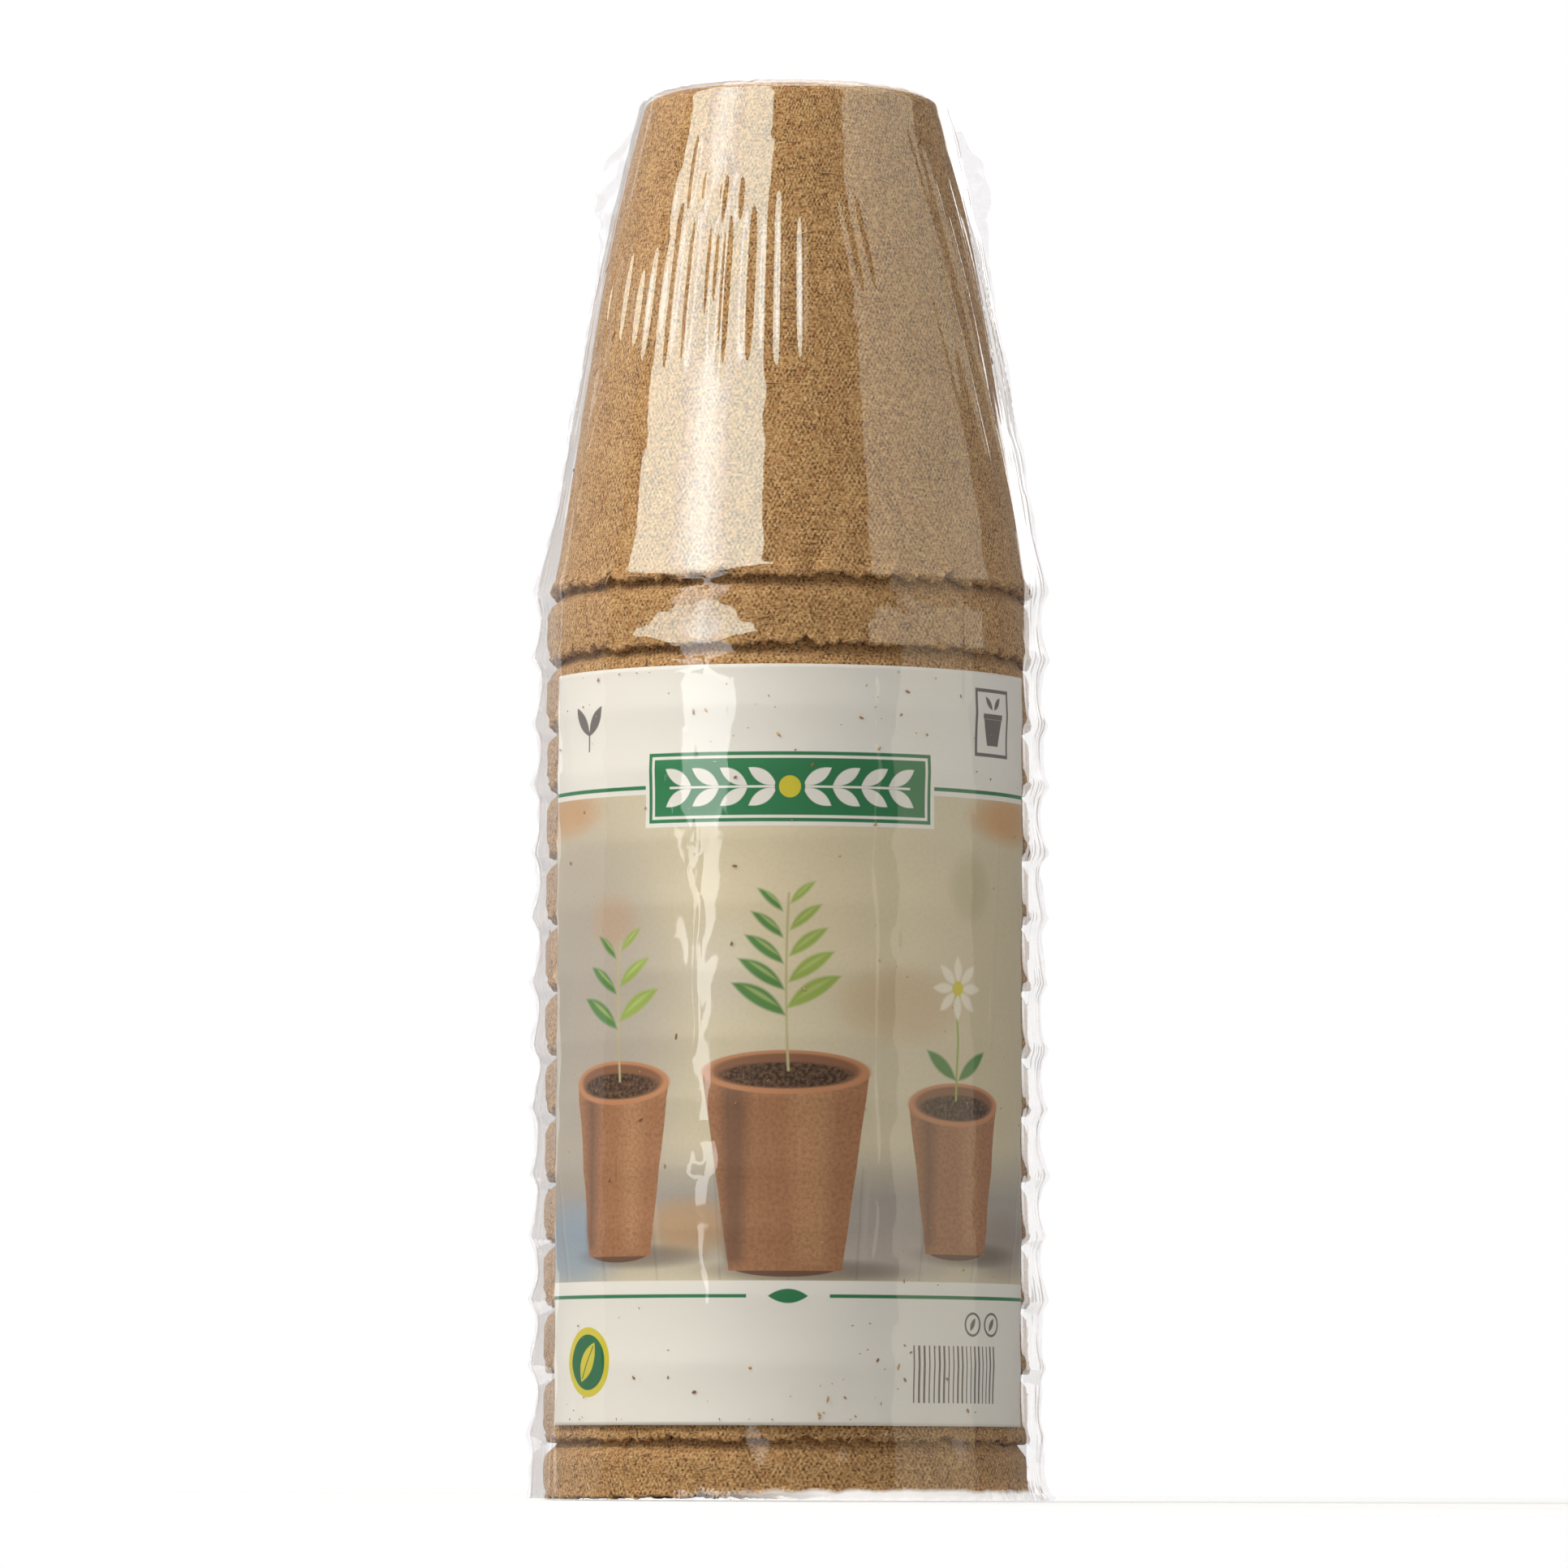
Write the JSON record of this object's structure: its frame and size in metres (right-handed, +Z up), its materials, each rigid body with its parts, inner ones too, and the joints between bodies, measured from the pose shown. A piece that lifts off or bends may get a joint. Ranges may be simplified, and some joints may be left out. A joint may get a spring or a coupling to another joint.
{
  "type": "peat pot",
  "caption": "Round tapered peat pots with rough turned-out rims, nested mouth down in a tall stack behind a curved paper label, under a clear shrink film with side seams.",
  "frame": {"origin": "centre of the pack's underside, on the axis of the pots", "axes": "+Z up along the pots' axis, from the mouths towards the bases; -Y is the front, with the label; the film's seams are at +X and -X"},
  "size_m": [0.0886, 0.0846, 0.2396],
  "materials": {
    "peat_pulp": "matte",
    "label_paper": "satin",
    "shrink_film": "gloss"
  },
  "bodies": {
    "lowest_pot": {"pot_15": "peat_pulp", "film_underside": "shrink_film"},
    "pot_14": {"pot_14": "peat_pulp"},
    "pot_13": {"pot_13": "peat_pulp"},
    "pot_12": {"pot_12": "peat_pulp"},
    "pot_11": {"pot_11": "peat_pulp"},
    "pot_10": {"pot_10": "peat_pulp"},
    "pot_09": {"pot_09": "peat_pulp"},
    "pot_08": {"pot_08": "peat_pulp"},
    "pot_07": {"pot_07": "peat_pulp"},
    "pot_06": {"pot_06": "peat_pulp"},
    "pot_05": {"pot_05": "peat_pulp"},
    "pot_04": {"pot_04": "peat_pulp"},
    "pot_03": {"pot_03": "peat_pulp"},
    "pot_02": {"pot_02": "peat_pulp"},
    "pot_01": {"pot_01": "peat_pulp"},
    "film": {"film_wrap": "shrink_film", "side_seam_left": "shrink_film", "side_seam_right": "shrink_film", "label_sheet": "label_paper"}
  },
  "joints": [
    {"name": "pot_14_lift", "type": "slide", "parent": "lowest_pot", "child": "pot_14", "axis": [0, 0, 1], "range_m": [0, 0.085]},
    {"name": "pot_13_lift", "type": "slide", "parent": "pot_14", "child": "pot_13", "axis": [0, 0, 1], "range_m": [0, 0.085]},
    {"name": "pot_12_lift", "type": "slide", "parent": "pot_13", "child": "pot_12", "axis": [0, 0, 1], "range_m": [0, 0.085]},
    {"name": "pot_11_lift", "type": "slide", "parent": "pot_12", "child": "pot_11", "axis": [0, 0, 1], "range_m": [0, 0.085]},
    {"name": "pot_10_lift", "type": "slide", "parent": "pot_11", "child": "pot_10", "axis": [0, 0, 1], "range_m": [0, 0.085]},
    {"name": "pot_09_lift", "type": "slide", "parent": "pot_10", "child": "pot_09", "axis": [0, 0, 1], "range_m": [0, 0.085]},
    {"name": "pot_08_lift", "type": "slide", "parent": "pot_09", "child": "pot_08", "axis": [0, 0, 1], "range_m": [0, 0.085]},
    {"name": "pot_07_lift", "type": "slide", "parent": "pot_08", "child": "pot_07", "axis": [0, 0, 1], "range_m": [0, 0.085]},
    {"name": "pot_06_lift", "type": "slide", "parent": "pot_07", "child": "pot_06", "axis": [0, 0, 1], "range_m": [0, 0.085]},
    {"name": "pot_05_lift", "type": "slide", "parent": "pot_06", "child": "pot_05", "axis": [0, 0, 1], "range_m": [0, 0.085]},
    {"name": "pot_04_lift", "type": "slide", "parent": "pot_05", "child": "pot_04", "axis": [0, 0, 1], "range_m": [0, 0.085]},
    {"name": "pot_03_lift", "type": "slide", "parent": "pot_04", "child": "pot_03", "axis": [0, 0, 1], "range_m": [0, 0.085]},
    {"name": "pot_02_lift", "type": "slide", "parent": "pot_03", "child": "pot_02", "axis": [0, 0, 1], "range_m": [0, 0.085]},
    {"name": "pot_01_lift", "type": "slide", "parent": "pot_02", "child": "pot_01", "axis": [0, 0, 1], "range_m": [0, 0.085]},
    {"name": "film_pull_off", "type": "slide", "parent": "pot_01", "child": "film", "axis": [0, 0, 1], "range_m": [0, 0.245]}
  ]
}
